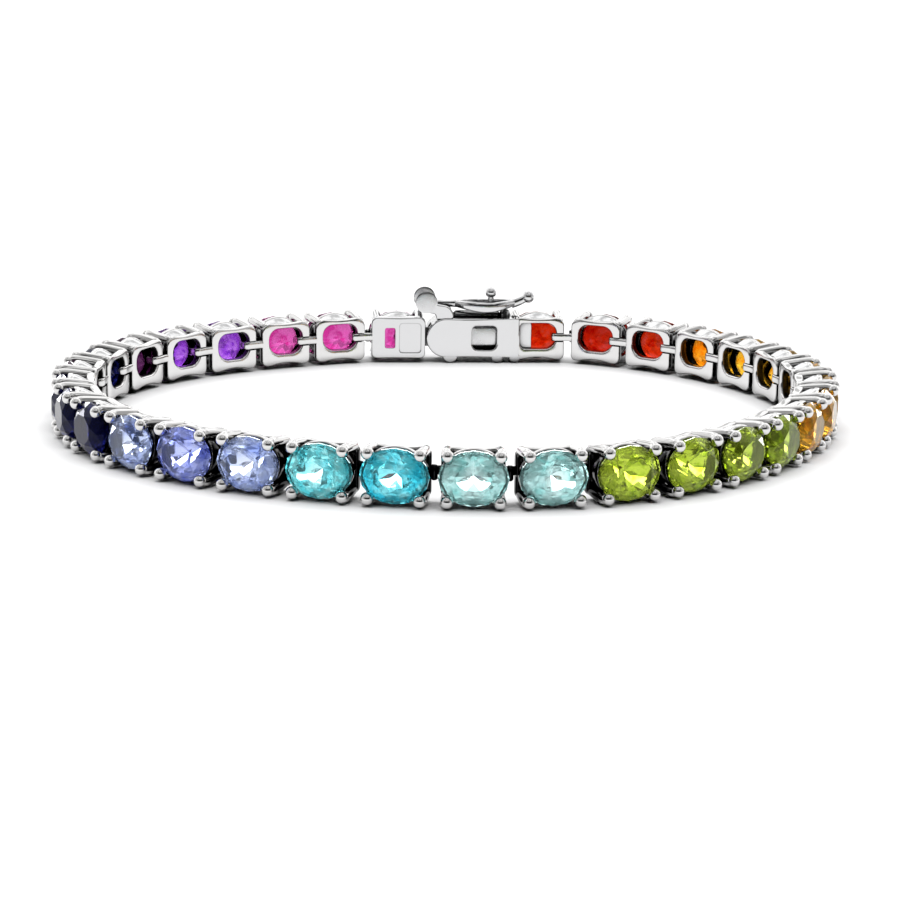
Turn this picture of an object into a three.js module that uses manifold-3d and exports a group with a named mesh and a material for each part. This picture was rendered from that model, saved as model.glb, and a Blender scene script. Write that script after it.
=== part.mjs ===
// A tennis bracelet that stands on its edge: a closed loop of oval stones in four-prong settings,
// with a box clasp and a folding safety catch. Millimetres, +Z up, resting on z = 0.
// Local frame of a setting: x clockwise along the chain, y away from the wrist, z up, y = 0 on its inner face.
import * as THREE from "three";
import { mergeVertices } from "three/addons/utils/BufferGeometryUtils.js";
import Module from "manifold-3d";

const wasm = await Module();
wasm.setup();

// Oval stones
const STONE_LENGTH = 5.0;
const STONE_WIDTH = 4.0;
const STONE_CROWN = 0.75;
const STONE_GIRDLE = 0.14;
const STONE_PAVILION = 1.7;
const STONE_TABLE = 0.58; // table width as a share of the stone's
const STONE_SIDES = 8;

// Settings
const SETTING_LENGTH = 4.54;
const BASE_HEIGHT = 3.6;
const BASE_THICKNESS = 1.1;
const BASE_CORNER = 0.35;
const WINDOW_LENGTH = 3.1;
const WINDOW_HEIGHT = 2.6;
const WINDOW_CORNER = 0.6;
const GIRDLE_LEVEL = 2.55; // middle of the girdle above the inner face
const RAIL_LEVEL = 1.87; // middle of the rail that carries the stone
const RAIL_THICKNESS = 0.5;
const RAIL_WIDTH = 0.42;
const RAIL_INSET = 0.16; // outer edge of the rail inside the stone's outline
const PRONG_RADIUS = 0.31;
const PRONG_BEAD = 0.47;
const PRONG_SIDES = 5;
const PRONG_ALONG = 1.87; // prong centre from the stone's centre, along the chain
const PRONG_ACROSS = 1.72;
const PRONG_CLIMB = 0.12; // bead top above the table

// Hinges between the links
const LINK_PITCH = 5.13;
const LINK_COUNT = 30; // links besides the two settings of the clasp
const TAB_HEIGHT = 0.78;
const TAB_THICKNESS = 0.4;
const HINGE_CLEARANCE = 0.25;
const HOOK_RISE = 0.55; // hook above the outer side of the tab
const TAB_ROOT = 0.35; // depth of the tab inside its own link

// Route of the loop: waves on a circle, as shares of its radius
const LOOP_WAVES = [
  { turns: 2, cosine: 0.015, sine: 0.023 },
  { turns: 3, cosine: -0.019, sine: 0.008 },
  { turns: 5, cosine: 0.008, sine: 0.0 },
];
const CLASP_DIRECTION = THREE.MathUtils.degToRad(84.3);

// Clasp box, fused to the setting at its clockwise end
const CLASP_GAP = 0.25;
const BOX_LENGTH = 7.53;
const BOX_HEIGHT = 3.42;
const BOX_DEPTH = 3.2;
const BOX_WALL = 0.45;
const BOX_END_WALL = 0.9;
const BOX_WINDOW_LENGTH = 2.3;
const BOX_WINDOW_HEIGHT = 2.2;
const BOX_WINDOW_FROM_END = 1.35; // plate between the window and the next setting
const FOOT_RADIUS = 0.62;
const FOOT_TAPER = 0.2;
const FOOT_PLACES = [2.1, 6.3, 7.85]; // along the box from its free end

// Tongue, fused to the setting at the box's free end
const TONGUE_WIDTH = 1.7;
const TONGUE_THICKNESS = 0.34;
const TONGUE_CLEARANCE = 0.32;
const TONGUE_ROOT = 0.4;
const END_WINDOW_LENGTH = 0.9;
const END_WINDOW_HEIGHT = 1.75;
const END_WINDOW_SHIFT = -0.65;
const END_PANEL_LENGTH = 1.9;
const END_PANEL_HEIGHT = 2.6;
const END_PANEL_SHIFT = 1.1;
const END_PANEL_DEPTH = 0.12;

// Safety catch on the box's upper side
const PIVOT_ALONG = 0.4; // from the box's free end
const PIVOT_RISE = 1.1; // above the box's upper side
const PIN_RADIUS = 0.25;
const EYE_RADIUS = 0.75;
const EYE_CLEARANCE = 0.22;
const EAR_THICKNESS = 0.42;
const EAR_RADIUS = 0.55;
const EAR_FOOT_START = 1.5;
const EAR_FOOT_LENGTH = 1.5;
const WIRE_RADIUS = 0.32;
const WIRE_SIDES = 6;
const LOOP_START = 2.3; // from the pivot
const LOOP_LENGTH = 5.0;
const LOOP_HALF_WIDTH = 1.15;
const LOOP_STEPS = 6;
const TAIL_LENGTH = 1.25;
const TAIL_RISE = 0.6;
const TAIL_BALL = 0.46;
const STUD_RADIUS = 0.26;
const STUD_HEAD = 0.38;
const STUD_ALONG = 5.3; // from the pivot
const STUD_RISE = 0.75; // head centre above the catch wire's axis
const POST_RADIUS = 0.42;
const POST_ALONG = 6.55;
const ROUND_SIDES = 10;

const SILVER = { color: 0xd9dbde, roughness: 0.12, metalness: 1.0 };

// Sizes that follow from the ones above
const TABLE_LEVEL = GIRDLE_LEVEL + STONE_GIRDLE / 2 + STONE_CROWN;
const HALF_HEIGHT = PRONG_ACROSS + PRONG_BEAD;
const PRONG_TOP = TABLE_LEVEL + PRONG_CLIMB;
const END_BAR = (SETTING_LENGTH - WINDOW_LENGTH) / 2;
const LINK_GAP = LINK_PITCH - SETTING_LENGTH;
const TAB_REACH = LINK_GAP / 2 + END_BAR + HINGE_CLEARANCE + TAB_THICKNESS;
const NOTCH_DEPTH = TAB_THICKNESS + HINGE_CLEARANCE;
const TONGUE_END_CENTRE = LINK_PITCH / 2;
const BOX_START = TONGUE_END_CENTRE + SETTING_LENGTH / 2 + CLASP_GAP;
const BOX_END = BOX_START + BOX_LENGTH;
const BOX_END_CENTRE = BOX_END + SETTING_LENGTH / 2;
const CLASP_CHORD = BOX_END_CENTRE + LINK_PITCH / 2;
const BOX_TOP = BOX_HEIGHT / 2;
const TONGUE_LEVEL = BOX_WALL + TONGUE_CLEARANCE;
const CATCH_LEVEL = BOX_DEPTH / 2;
const PIVOT = new THREE.Vector3(BOX_START + PIVOT_ALONG, CATCH_LEVEL, BOX_TOP + PIVOT_RISE);

// A geometry as a closed solid that can be joined and cut.
function solidOf(geometry) {
  const bare = geometry.clone();
  bare.deleteAttribute("normal");
  bare.deleteAttribute("uv");
  const merged = mergeVertices(bare, 1e-5);
  const mesh = new wasm.Mesh({
    numProp: 3,
    vertProperties: merged.attributes.position.array,
    triVerts: new Uint32Array(merged.index.array),
  });
  return new wasm.Manifold(mesh);
}

function joined(solids) {
  return solids.reduce((whole, next) => whole.add(next));
}

// A named mesh of a solid, in the silver of every piece.
function meshOf(name, solid) {
  const made = solid.getMesh();
  const geometry = new THREE.BufferGeometry();
  geometry.setAttribute("position", new THREE.BufferAttribute(made.vertProperties, 3));
  geometry.setIndex(new THREE.BufferAttribute(made.triVerts, 1));
  geometry.computeVertexNormals();
  const mesh = new THREE.Mesh(geometry, new THREE.MeshStandardMaterial(SILVER));
  mesh.name = name;
  return mesh;
}

// Points of a rectangle with cut corners, centred on (x, z).
function cutCornerPoints(length, height, corner, x = 0) {
  const right = length / 2;
  const top = height / 2;
  const points = [
    [right, corner - top],
    [right, top - corner],
    [right - corner, top],
    [corner - right, top],
    [-right, top - corner],
    [-right, corner - top],
    [corner - right, -top],
    [right - corner, -top],
  ];
  return points.map(([px, pz]) => new THREE.Vector2(x + px, pz));
}

// A solid whose outline lies in the x-z plane and which fills y = low to y = high.
function plate(outline, low, high, holes = []) {
  const shape = new THREE.Shape(outline);
  holes.forEach((hole) => shape.holes.push(new THREE.Path(hole)));
  const geometry = new THREE.ExtrudeGeometry(shape, { depth: high - low, bevelEnabled: false });
  geometry.rotateX(Math.PI / 2);
  geometry.translate(0, high, 0);
  return solidOf(geometry);
}

function block(x0, x1, y0, y1, z0, z1) {
  const geometry = new THREE.BoxGeometry(x1 - x0, y1 - y0, z1 - z0);
  geometry.translate((x0 + x1) / 2, (y0 + y1) / 2, (z0 + z1) / 2);
  return solidOf(geometry);
}

function cylinderAlongY(radius, x, y0, y1, z) {
  const geometry = new THREE.CylinderGeometry(radius, radius, y1 - y0, ROUND_SIDES);
  geometry.translate(x, (y0 + y1) / 2, z);
  return solidOf(geometry);
}

function cylinderAlongZ(topRadius, bottomRadius, x, y, z0, z1) {
  const geometry = new THREE.CylinderGeometry(topRadius, bottomRadius, z1 - z0, ROUND_SIDES);
  geometry.rotateX(Math.PI / 2);
  geometry.translate(x, y, (z0 + z1) / 2);
  return solidOf(geometry);
}

function ball(radius, centre) {
  const geometry = new THREE.SphereGeometry(radius, ROUND_SIDES, ROUND_SIDES / 2);
  geometry.translate(centre.x, centre.y, centre.z);
  return solidOf(geometry);
}

// A round wire along a curve.
function wire(curve, steps) {
  const section = new THREE.Shape().absarc(0, 0, WIRE_RADIUS, 0, 2 * Math.PI);
  const options = { steps, curveSegments: WIRE_SIDES, extrudePath: curve, bevelEnabled: false };
  return solidOf(new THREE.ExtrudeGeometry(section, options));
}

// A cut stone with its table outwards.
function stone(x) {
  const half = STONE_WIDTH / 2;
  const profile = [
    new THREE.Vector2(0, GIRDLE_LEVEL - STONE_GIRDLE / 2 - STONE_PAVILION),
    new THREE.Vector2(half, GIRDLE_LEVEL - STONE_GIRDLE / 2),
    new THREE.Vector2(half, GIRDLE_LEVEL + STONE_GIRDLE / 2),
    new THREE.Vector2(half * STONE_TABLE, TABLE_LEVEL),
    new THREE.Vector2(0, TABLE_LEVEL),
  ];
  const geometry = new THREE.LatheGeometry(profile, STONE_SIDES);
  geometry.scale(STONE_LENGTH / STONE_WIDTH, 1, 1);
  geometry.translate(x, 0, 0);
  return solidOf(geometry);
}

function ovalPoints(alongRadius, acrossRadius) {
  const points = [];
  for (let i = 0; i < STONE_SIDES; i += 1) {
    const angle = (i / STONE_SIDES) * 2 * Math.PI;
    points.push(new THREE.Vector2(alongRadius * Math.cos(angle), acrossRadius * Math.sin(angle)));
  }
  return points;
}

// The oval rail under the girdle that ties the four prongs together.
function rail(x) {
  const along = STONE_LENGTH / 2 - RAIL_INSET;
  const across = STONE_WIDTH / 2 - RAIL_INSET;
  const outer = ovalPoints(along, across);
  const inner = ovalPoints(along - RAIL_WIDTH, across - RAIL_WIDTH);
  const made = plate(outer, RAIL_LEVEL - RAIL_THICKNESS / 2, RAIL_LEVEL + RAIL_THICKNESS / 2, [inner]);
  return made.translate([x, 0, 0]);
}

function prong(x, z) {
  const profile = [
    new THREE.Vector2(0, BASE_THICKNESS / 2),
    new THREE.Vector2(PRONG_RADIUS, BASE_THICKNESS / 2),
    new THREE.Vector2(PRONG_BEAD, GIRDLE_LEVEL),
    new THREE.Vector2(PRONG_BEAD, PRONG_TOP - PRONG_BEAD * 0.8),
    new THREE.Vector2(0, PRONG_TOP),
  ];
  const geometry = new THREE.LatheGeometry(profile, PRONG_SIDES);
  // A corner of each prong points away from the mid-height, so the lower ones touch the floor.
  geometry.rotateY(z > 0 ? 0 : Math.PI);
  geometry.translate(x, 0, z);
  return solidOf(geometry);
}

function prongs(x) {
  const places = [];
  for (const along of [-PRONG_ALONG, PRONG_ALONG]) {
    for (const across of [-PRONG_ACROSS, PRONG_ACROSS]) {
      places.push(prong(x + along, across));
    }
  }
  return places;
}

// The hooked tab that leads into the window of the link before, which is turned by the given angle.
function hingeTab(x, turn) {
  const bendAt = new THREE.Vector2(x - LINK_PITCH / 2, 0);
  const there = (along, out) => {
    const point = new THREE.Vector2(-along, out).rotateAround(new THREE.Vector2(), turn);
    return point.add(bendAt);
  };
  const root = LINK_GAP / 2 + TAB_ROOT;
  const hook = TAB_THICKNESS + HOOK_RISE;
  const outline = [
    new THREE.Vector2(bendAt.x + root, 0),
    new THREE.Vector2(bendAt.x + root, TAB_THICKNESS),
    new THREE.Vector2(bendAt.x, TAB_THICKNESS),
    there(TAB_REACH - TAB_THICKNESS, TAB_THICKNESS),
    there(TAB_REACH - TAB_THICKNESS, hook),
    there(TAB_REACH, hook),
    there(TAB_REACH, 0),
    bendAt,
  ];
  const options = { depth: TAB_HEIGHT, bevelEnabled: false };
  const geometry = new THREE.ExtrudeGeometry(new THREE.Shape(outline), options);
  geometry.translate(0, 0, -TAB_HEIGHT / 2);
  return solidOf(geometry);
}

// The recess in a base's clockwise end bar, where the next link's tab lies.
function hingeNotch(x) {
  const half = TAB_HEIGHT / 2 + HINGE_CLEARANCE;
  const inside = x + WINDOW_LENGTH / 2 - HINGE_CLEARANCE;
  return block(inside, x + SETTING_LENGTH, -NOTCH_DEPTH, NOTCH_DEPTH, -half, half);
}

// The rectangular frame at the inner face, open behind the stone.
function openBase(x) {
  const outline = cutCornerPoints(SETTING_LENGTH, BASE_HEIGHT, BASE_CORNER, x);
  const window = cutCornerPoints(WINDOW_LENGTH, WINDOW_HEIGHT, WINDOW_CORNER, x);
  return plate(outline, 0, BASE_THICKNESS, [window]);
}

// The closed base beside the clasp: a small window, and a shallow panel over the tongue's root.
function closedBase(x) {
  const outline = cutCornerPoints(SETTING_LENGTH, BASE_HEIGHT, BASE_CORNER, x);
  const windowX = x + END_WINDOW_SHIFT;
  const window = cutCornerPoints(END_WINDOW_LENGTH, END_WINDOW_HEIGHT, END_PANEL_DEPTH, windowX);
  const panelX = x + END_PANEL_SHIFT;
  const panel = cutCornerPoints(END_PANEL_LENGTH, END_PANEL_HEIGHT, WINDOW_CORNER, panelX);
  const face = plate(outline, 0, BASE_THICKNESS, [window]);
  return face.subtract(plate(panel, -END_PANEL_DEPTH, END_PANEL_DEPTH));
}

// A base with the stone, its rail and its prongs.
function withStone(base, x) {
  return joined([base, rail(x), ...prongs(x), stone(x)]);
}

function link(turn) {
  const base = openBase(0).subtract(hingeNotch(0));
  return withStone(base, 0).add(hingeTab(0, turn));
}

// Everything about the clasp box lies in the clasp's frame: x = 0 at the hinge on the tongue's side.
function boxOutline() {
  const radius = BOX_HEIGHT / 2;
  const shape = new THREE.Path();
  shape.moveTo(BOX_END + END_BAR, -radius);
  shape.lineTo(BOX_END + END_BAR, radius);
  shape.lineTo(BOX_START + radius, radius);
  shape.absarc(BOX_START + radius, 0, radius, Math.PI / 2, (3 * Math.PI) / 2);
  const points = shape.getPoints(ROUND_SIDES / 2);
  return points.filter((point, i) => i === 0 || point.distanceTo(points[i - 1]) > 1e-6);
}

function boxShell() {
  const inside = BOX_HEIGHT / 2 - BOX_WALL;
  const cavity = block(
    BOX_START + BOX_END_WALL, BOX_END - BOX_WALL, BOX_WALL, BOX_DEPTH - BOX_WALL, -inside, inside,
  );
  const windowX = BOX_END - BOX_WINDOW_FROM_END - BOX_WINDOW_LENGTH / 2;
  const window = cutCornerPoints(BOX_WINDOW_LENGTH, BOX_WINDOW_HEIGHT, WINDOW_CORNER / 2, windowX);
  const slot = block(
    BOX_START - CLASP_GAP, BOX_START + 2 * BOX_END_WALL,
    TONGUE_LEVEL - TONGUE_CLEARANCE, TONGUE_LEVEL + TONGUE_THICKNESS + TONGUE_CLEARANCE,
    -TONGUE_WIDTH / 2 - TONGUE_CLEARANCE, TONGUE_WIDTH / 2 + TONGUE_CLEARANCE,
  );
  return plate(boxOutline(), 0, BOX_DEPTH)
    .subtract(cavity)
    .subtract(plate(window, -BOX_WALL, 2 * BOX_WALL))
    .subtract(slot);
}

// Flat-bottomed feet along the box's lower edge, level with the lowest prongs.
function feet() {
  return FOOT_PLACES.map((along) => cylinderAlongZ(
    FOOT_RADIUS, FOOT_RADIUS - FOOT_TAPER, BOX_START + along, FOOT_RADIUS,
    -HALF_HEIGHT, -BOX_HEIGHT / 2 + BOX_WALL,
  ));
}

// The two ears that hold the catch's pin, and the pin between them.
function catchBracket() {
  const footX = BOX_START + EAR_FOOT_START;
  const inBox = BOX_TOP - BOX_WALL / 2;
  const outline = [
    new THREE.Vector2(footX, inBox),
    new THREE.Vector2(footX + EAR_FOOT_LENGTH, inBox),
    new THREE.Vector2(footX + EAR_FOOT_LENGTH * 0.8, PIVOT.z - EAR_RADIUS * 0.6),
    new THREE.Vector2(PIVOT.x + EAR_RADIUS * 0.6, PIVOT.z + EAR_RADIUS * 0.85),
    new THREE.Vector2(PIVOT.x - EAR_RADIUS * 0.3, PIVOT.z + EAR_RADIUS),
    new THREE.Vector2(PIVOT.x - EAR_RADIUS, PIVOT.z),
    new THREE.Vector2(PIVOT.x - EAR_RADIUS * 0.3, PIVOT.z - EAR_RADIUS),
  ];
  const inner = EYE_RADIUS + EYE_CLEARANCE;
  const outer = inner + EAR_THICKNESS;
  return [
    plate(outline, PIVOT.y - outer, PIVOT.y - inner),
    plate(outline, PIVOT.y + inner, PIVOT.y + outer),
    cylinderAlongY(PIN_RADIUS, PIVOT.x, PIVOT.y - outer + PIN_RADIUS, PIVOT.y + outer - PIN_RADIUS, PIVOT.z),
  ];
}

// The ball-headed stud inside the catch's loop and the low post that its end rests over.
function catchStops() {
  const inBox = BOX_TOP - BOX_WALL / 2;
  const studX = PIVOT.x + STUD_ALONG;
  const head = new THREE.Vector3(studX, PIVOT.y, PIVOT.z + STUD_RISE);
  const postTop = PIVOT.z - WIRE_RADIUS - EYE_CLEARANCE;
  return [
    cylinderAlongZ(STUD_RADIUS, STUD_RADIUS, studX, PIVOT.y, inBox, head.z),
    ball(STUD_HEAD, head),
    cylinderAlongZ(POST_RADIUS, POST_RADIUS, PIVOT.x + POST_ALONG, PIVOT.y, inBox, postTop),
  ];
}

function claspBox() {
  const end = openBase(BOX_END_CENTRE).subtract(hingeNotch(BOX_END_CENTRE));
  const setting = withStone(end, BOX_END_CENTRE);
  return joined([boxShell(), setting, ...feet(), ...catchBracket(), ...catchStops()]);
}

// The folded spring leaf inside the box, seen through the box's window.
function tongue() {
  const start = TONGUE_END_CENTRE + SETTING_LENGTH / 2 - TONGUE_ROOT;
  const tip = BOX_END - BOX_WALL - TONGUE_CLEARANCE;
  const back = BOX_START + 2 * BOX_END_WALL + TONGUE_CLEARANCE;
  const low = TONGUE_LEVEL;
  const high = BOX_DEPTH - BOX_WALL - TONGUE_CLEARANCE;
  const thick = TONGUE_THICKNESS;
  const outline = [
    new THREE.Vector2(start, low),
    new THREE.Vector2(tip, low),
    new THREE.Vector2(tip, low + 2 * thick),
    new THREE.Vector2(back, high),
    new THREE.Vector2(back, high - thick),
    new THREE.Vector2(tip - 3 * thick, low + thick),
    new THREE.Vector2(start, low + thick),
  ];
  const options = { depth: TONGUE_WIDTH, bevelEnabled: false };
  const geometry = new THREE.ExtrudeGeometry(new THREE.Shape(outline), options);
  geometry.translate(0, 0, -TONGUE_WIDTH / 2);
  return solidOf(geometry);
}

function claspTongue(turn) {
  const setting = withStone(closedBase(TONGUE_END_CENTRE), TONGUE_END_CENTRE);
  return joined([setting, hingeTab(TONGUE_END_CENTRE, turn), tongue()]);
}

// The catch: an eye on the pin, a lens-shaped wire loop and a raised tail to lift it by.
function safetyCatch() {
  const at = (along, out, rise) => new THREE.Vector3(PIVOT.x + along, PIVOT.y + out, PIVOT.z + rise);
  const start = at(LOOP_START, 0, 0);
  const end = at(LOOP_START + LOOP_LENGTH, 0, 0);
  const sides = [-1, 1].map((side) => {
    const middle = at(LOOP_START + LOOP_LENGTH / 2, 2 * side * LOOP_HALF_WIDTH, 0);
    return wire(new THREE.QuadraticBezierCurve3(start, middle, end), LOOP_STEPS);
  });
  const shank = wire(new THREE.LineCurve3(at(EYE_RADIUS / 2, 0, 0), at(LOOP_START + WIRE_RADIUS, 0, 0)), 1);
  const tailEnd = at(LOOP_START + LOOP_LENGTH + TAIL_LENGTH, 0, TAIL_RISE);
  const tail = wire(new THREE.LineCurve3(at(LOOP_START + LOOP_LENGTH - WIRE_RADIUS, 0, 0), tailEnd), 1);
  const hole = cylinderAlongY(
    PIN_RADIUS + EYE_CLEARANCE, PIVOT.x, PIVOT.y - 2 * EYE_RADIUS, PIVOT.y + 2 * EYE_RADIUS, PIVOT.z,
  );
  const whole = joined([ball(EYE_RADIUS, PIVOT), shank, ...sides, tail, ball(TAIL_BALL, tailEnd)]);
  return whole.subtract(hole);
}

// Radius of the loop in a direction, as a share of its mean radius.
function loopShare(angle) {
  const wave = ({ turns, cosine, sine }) => cosine * Math.cos(turns * angle) + sine * Math.sin(turns * angle);
  return LOOP_WAVES.reduce((sum, row) => sum + wave(row), 1);
}

function loopPoint(radius, angle) {
  const r = radius * loopShare(angle);
  return new THREE.Vector2(r * Math.cos(angle), r * Math.sin(angle));
}

// The value in a span where a rising function crosses zero.
function crossing(rising, low, high) {
  let [below, above] = [low, high];
  for (let i = 0; i < 60; i += 1) {
    const middle = (below + above) / 2;
    if (rising(middle) > 0) above = middle;
    else below = middle;
  }
  return (below + above) / 2;
}

// Directions of the hinges, clockwise from the box's end of the clasp.
function hingeDirections(radius) {
  const chordLength = (a, b) => loopPoint(radius, a).distanceTo(loopPoint(radius, b));
  const claspHalf = crossing(
    (half) => chordLength(CLASP_DIRECTION - half, CLASP_DIRECTION + half) - CLASP_CHORD, 0, Math.PI / 2,
  );
  const directions = [CLASP_DIRECTION - claspHalf];
  for (let i = 0; i < LINK_COUNT; i += 1) {
    const from = directions[i];
    directions.push(from - crossing((step) => chordLength(from, from - step) - LINK_PITCH, 0, Math.PI / 2));
  }
  return { directions, left: directions[LINK_COUNT] + 2 * Math.PI - CLASP_DIRECTION - claspHalf };
}

// Hinge points of the closed loop: its radius is the one at which the last link meets the clasp.
function hingePoints() {
  const around = (LINK_COUNT * LINK_PITCH + CLASP_CHORD) / (2 * Math.PI);
  const radius = crossing((r) => hingeDirections(r).left, 0.8 * around, 1.25 * around);
  return hingeDirections(radius).directions.map((angle) => loopPoint(radius, angle));
}

function heading(from, to) {
  return Math.atan2(to.y - from.y, to.x - from.x);
}

function placed(mesh, point, angle) {
  mesh.position.set(point.x, point.y, 0);
  mesh.rotation.z = angle;
  return mesh;
}

function bracelet() {
  const hinges = hingePoints();
  const last = hinges.length - 1;
  const claspHeading = heading(hinges[last], hinges[0]);
  const loop = new THREE.Group();
  let before = claspHeading;
  for (let i = 0; i < last; i += 1) {
    const angle = heading(hinges[i], hinges[i + 1]);
    const middle = hinges[i].clone().lerp(hinges[i + 1], 0.5);
    const number = String(i + 1).padStart(2, "0");
    loop.add(placed(meshOf(`link_${number}`, link(before - angle)), middle, angle));
    before = angle;
  }
  const clasp = new THREE.Group();
  clasp.add(meshOf("clasp_tongue", claspTongue(before - claspHeading)));
  clasp.add(meshOf("clasp_box", claspBox()));
  clasp.add(meshOf("safety_catch", safetyCatch()));
  loop.add(placed(clasp, hinges[last], claspHeading));
  return loop;
}

// The loop rests on z = 0 with the middle of its box over the origin.
function standing(loop) {
  const box = new THREE.Box3().setFromObject(loop, true);
  const centre = box.getCenter(new THREE.Vector3());
  loop.position.set(-centre.x, -centre.y, -box.min.z);
  const whole = new THREE.Group();
  whole.add(loop);
  return whole;
}

const model = standing(bracelet());
export default model;
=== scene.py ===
"""The looks of a tennis bracelet: cut stones in polished settings, a box clasp and a folding safety catch."""
import math

import bmesh
import bpy
from mathutils import Matrix, Vector


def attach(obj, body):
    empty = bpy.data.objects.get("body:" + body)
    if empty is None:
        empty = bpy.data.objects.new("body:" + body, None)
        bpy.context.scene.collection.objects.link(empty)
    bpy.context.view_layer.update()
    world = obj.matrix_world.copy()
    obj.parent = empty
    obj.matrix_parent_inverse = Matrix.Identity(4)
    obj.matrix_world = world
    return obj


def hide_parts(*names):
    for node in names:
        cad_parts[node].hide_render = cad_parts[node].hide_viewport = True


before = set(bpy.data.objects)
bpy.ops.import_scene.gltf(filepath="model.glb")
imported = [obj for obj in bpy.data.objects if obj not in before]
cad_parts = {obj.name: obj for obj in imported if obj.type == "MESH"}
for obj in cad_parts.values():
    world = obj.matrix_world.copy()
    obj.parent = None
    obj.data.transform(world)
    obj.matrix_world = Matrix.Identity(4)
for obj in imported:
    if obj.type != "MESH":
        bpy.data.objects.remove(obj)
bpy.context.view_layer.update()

MM = 0.001
OUTWARDS = Vector((0, 1, 0))
UPWARDS = Vector((0, 0, 1))

# Sizes in millimetres, as in the part
STONE_LENGTH = 5.0
STONE_WIDTH = 4.0
STONE_CROWN = 0.75
STONE_GIRDLE = 0.14
STONE_PAVILION = 2.1
STONE_TABLE = 0.58
GIRDLE_LEVEL = 2.55
TABLE_LEVEL = GIRDLE_LEVEL + STONE_GIRDLE / 2 + STONE_CROWN
SETTING_LENGTH = 4.54
BASE_HEIGHT = 3.6
BASE_THICKNESS = 1.1
WINDOW_LENGTH = 3.2
WINDOW_HEIGHT = 2.26
WINDOW_RISE = 0.2
END_BAR = (SETTING_LENGTH - WINDOW_LENGTH) / 2
PRONG_ALONG = 1.87
PRONG_ACROSS = 1.72
PRONG_BEAD = 0.47
LINK_PITCH = 5.13
TAB_HEIGHT = 0.68
TAB_THICKNESS = 0.4
TAB_RISE = 0.08
HINGE_CLEARANCE = 0.1
HALF_HEIGHT = PRONG_ACROSS + PRONG_BEAD
BOX_LENGTH = 7.53
BOX_HEIGHT = 3.42
BOX_DEPTH = 3.2
BOX_WALL = 0.45
CLASP_GAP = 0.25

# Stones clockwise from the red end of the clasp: node and the colour's name
STONES = [
    ("clasp_box", "gem_scarlet"), ("link_01", "gem_crimson"), ("link_02", "gem_scarlet"),
    ("link_03", "gem_orange"), ("link_04", "gem_amber"), ("link_05", "gem_amber"),
    ("link_06", "gem_amber"), ("link_07", "gem_amber"), ("link_08", "gem_amber"),
    ("link_09", "gem_amber"), ("link_10", "gem_yellow_green"), ("link_11", "gem_yellow_green"),
    ("link_12", "gem_yellow_green"), ("link_13", "gem_yellow_green"), ("link_14", "gem_aqua_grey"),
    ("link_15", "gem_aqua_grey"), ("link_16", "gem_teal"), ("link_17", "gem_turquoise"),
    ("link_18", "gem_blue_violet"), ("link_19", "gem_deep_blue"), ("link_20", "gem_blue_violet"),
    ("link_21", "gem_midnight"), ("link_22", "gem_midnight"), ("link_23", "gem_midnight"),
    ("link_24", "gem_plum"), ("link_25", "gem_midnight"), ("link_26", "gem_plum"),
    ("link_27", "gem_violet"), ("link_28", "gem_violet"), ("link_29", "gem_magenta"),
    ("link_30", "gem_magenta"), ("clasp_tongue", "gem_magenta"),
]

# Body colour of each kind of stone, linear red, green and blue
GEM_COLOURS = {
    "gem_scarlet": (0.60, 0.020, 0.001),
    "gem_crimson": (0.48, 0.010, 0.001),
    "gem_orange": (1.0, 0.34, 0.006),
    "gem_amber": (1.0, 0.52, 0.02),
    "gem_yellow_green": (0.50, 0.66, 0.05),
    "gem_aqua_grey": (0.44, 0.86, 0.84),
    "gem_teal": (0.05, 0.74, 0.93),
    "gem_turquoise": (0.16, 0.84, 0.93),
    "gem_blue_violet": (0.43, 0.55, 1.0),
    "gem_deep_blue": (0.24, 0.31, 0.96),
    "gem_midnight": (0.006, 0.008, 0.10),
    "gem_plum": (0.08, 0.014, 0.075),
    "gem_violet": (0.42, 0.13, 0.74),
    "gem_magenta": (0.76, 0.11, 0.47),
}

# Stones that are paler in the middle
PALE_HEARTED = ("gem_aqua_grey", "gem_teal", "gem_turquoise", "gem_blue_violet", "gem_deep_blue")

# How closely a face has to match a direction or a level to count as part of a side
UPRIGHT_RISE = 0.01
SAME_BEARING = 0.02
STRAIGHT_OUT = 0.999
TABLE_TOLERANCE = 0.02


def unit(v):
    return v.normalized()


def turned_outwards(normal, place):
    """A normal, or its opposite where that is nearer to the direction of a place."""
    return normal if normal.dot(place) > 0 else -normal


def setting_frame(node):
    """A setting's own frame: x along the chain, y away from the wrist, z up, origin on the inner face."""
    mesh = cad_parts[node].data
    sides = {}
    for face in mesh.polygons:
        if abs(face.normal.z) > UPRIGHT_RISE:
            continue
        key = round(math.atan2(face.normal.y, face.normal.x) % math.pi, 2)
        sides[key] = sides.get(key, 0.0) + face.area
    best = max(sides, key=sides.get)
    facing = [f for f in mesh.polygons if abs(f.normal.z) <= UPRIGHT_RISE
              and abs(math.atan2(f.normal.y, f.normal.x) % math.pi - best) < SAME_BEARING]
    place = sum((f.center for f in facing), Vector()) / len(facing)
    flat = Vector((place.x, place.y, 0.0))
    out = Vector((0.0, 0.0, 0.0))
    for face in facing:
        out += turned_outwards(face.normal, flat) * face.area
    out.z = 0.0
    out = unit(out)
    outer = [f for f in facing if f.normal.dot(out) > STRAIGHT_OUT]
    level = max(f.center.dot(out) for f in outer)
    table = [f for f in outer if f.center.dot(out) > level - TABLE_TOLERANCE * MM]
    area = sum(f.area for f in table)
    centre = sum((f.center * f.area for f in table), Vector()) / area
    along = out.cross(UPWARDS)
    matrix = Matrix((along, out, UPWARDS)).transposed().to_4x4()
    matrix.translation = centre - out * TABLE_LEVEL * MM
    return matrix


FRAMES = {node: setting_frame(node) for node, _ in STONES}


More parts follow.
